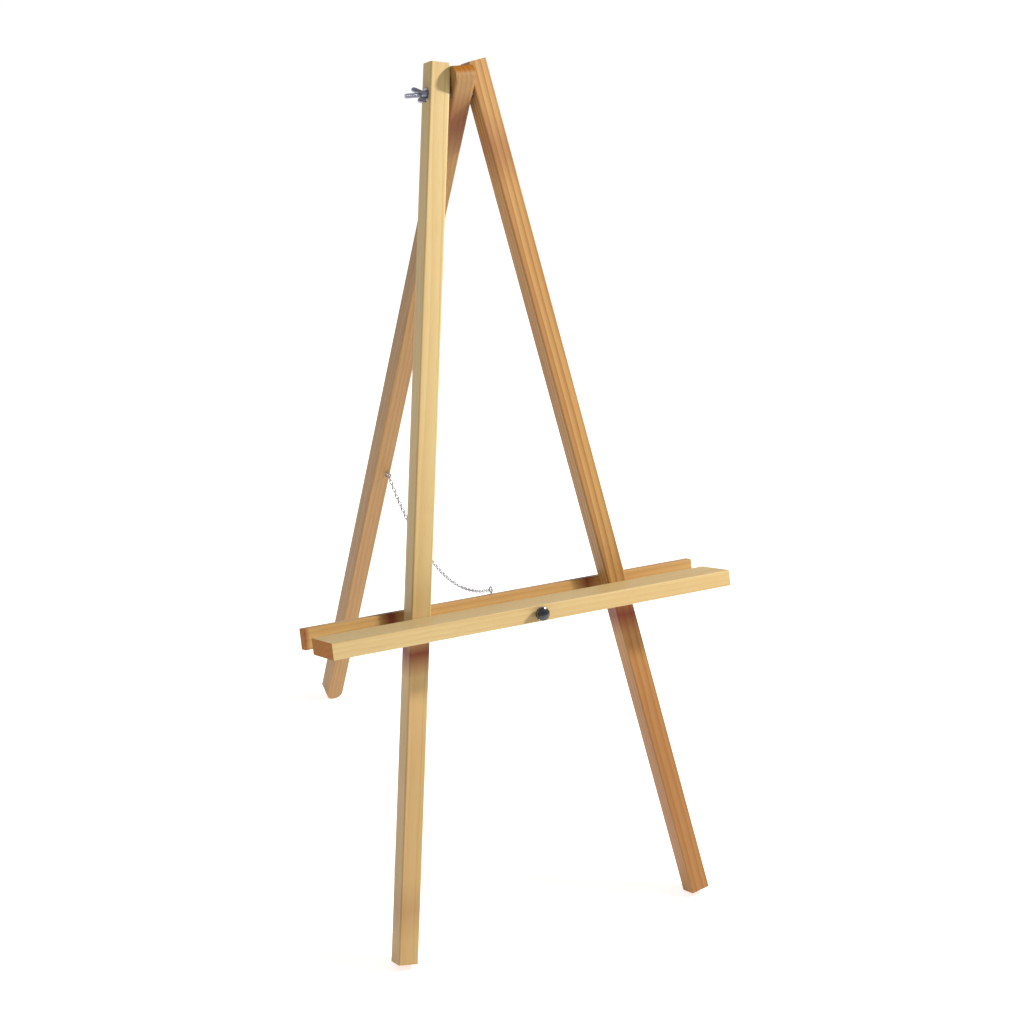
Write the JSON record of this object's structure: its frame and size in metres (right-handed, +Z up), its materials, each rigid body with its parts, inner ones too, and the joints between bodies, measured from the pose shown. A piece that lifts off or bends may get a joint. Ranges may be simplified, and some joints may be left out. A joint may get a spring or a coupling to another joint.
{
  "type": "folding artist easel",
  "caption": "Folding wooden easel with two splayed front legs, a hinged rear leg, a clamped canvas tray and a slack safety chain.",
  "frame": {"origin": "middle of the overall box at floor level", "axes": "+X to the viewer's right along the tray, -Y towards the artist, +Z up"},
  "size_m": [0.745, 1.0842, 1.4517],
  "materials": {
    "pine": "satin",
    "zinc": "satin",
    "steel": "satin",
    "knob_black": "gloss",
    "chain_steel": "satin"
  },
  "bodies": {
    "frame": {"front_leg_left": "pine", "front_leg_right": "pine", "pivot_bolt": "zinc", "bolt_washer": "zinc", "wing_washer": "zinc", "spacer_left": "zinc", "spacer_right": "zinc"},
    "rear_leg": {"rear_leg": "pine", "leg_eye": "zinc"},
    "wing_nut": {"wing_nut": "zinc"},
    "tray": {"tray_board": "pine", "rear_rail": "pine", "draw_bolt": "steel", "draw_washer": "steel", "knob_washer": "steel", "rail_eye": "zinc", "chain_1": "chain_steel"},
    "clamp_knob": {"clamp_knob": "knob_black"},
    "chain_rail_upper": {"chain_2": "chain_steel"},
    "chain_rail_lower": {"chain_3": "chain_steel"},
    "chain_leg_lower": {"chain_4": "chain_steel"},
    "chain_leg_upper": {"chain_5": "chain_steel"}
  },
  "joints": [
    {"name": "rear_leg_fold", "type": "hinge", "parent": "frame", "child": "rear_leg", "pos_m": [0.013, -0.12598, 1.39583], "axis": [1, 0, 0], "range_deg": [-34, 1.8]},
    {"name": "wing_nut_spin", "type": "hinge", "parent": "frame", "child": "wing_nut", "pos_m": [0.013, -0.12598, 1.39583], "axis": [1, 0, 0], "continuous": true},
    {"name": "tray_slide", "type": "slide", "parent": "frame", "child": "tray", "axis": [0, 0.2756, 0.9613], "range_m": [-0.065, 0.35]},
    {"name": "knob_spin", "type": "hinge", "parent": "tray", "child": "clamp_knob", "pos_m": [0, -0.47597, 0.58177], "axis": [0, -0.9613, 0.2756], "continuous": true},
    {"name": "chain_rail_upper_swing", "type": "hinge", "parent": "tray", "child": "chain_rail_upper", "pos_m": [-0.02039, -0.31264, 0.56535], "axis": [1, 0, 0], "range_deg": [-92.88, 5.39]},
    {"name": "chain_rail_lower_swing", "type": "hinge", "parent": "chain_rail_upper", "child": "chain_rail_lower", "pos_m": [-0.01001, -0.18669, 0.5233], "axis": [1, 0, 0], "range_deg": [-70, 4.18]},
    {"name": "chain_leg_upper_swing", "type": "hinge", "parent": "rear_leg", "child": "chain_leg_upper", "pos_m": [0.023, 0.21401, 0.59876], "axis": [1, 0, 0], "range_deg": [-5.41, 93.22]},
    {"name": "chain_leg_lower_swing", "type": "hinge", "parent": "chain_leg_upper", "child": "chain_leg_lower", "pos_m": [0.01314, 0.09429, 0.54229], "axis": [1, 0, 0], "range_deg": [-54.08, 3.34]}
  ],
  "couplings": [
    {"joint": "chain_rail_upper_swing", "follows": "rear_leg_fold", "ratio": 2.717},
    {"joint": "chain_rail_lower_swing", "follows": "rear_leg_fold", "ratio": 2.044},
    {"joint": "chain_leg_lower_swing", "follows": "rear_leg_fold", "ratio": 1.576},
    {"joint": "chain_leg_upper_swing", "follows": "rear_leg_fold", "ratio": -2.727}
  ]
}
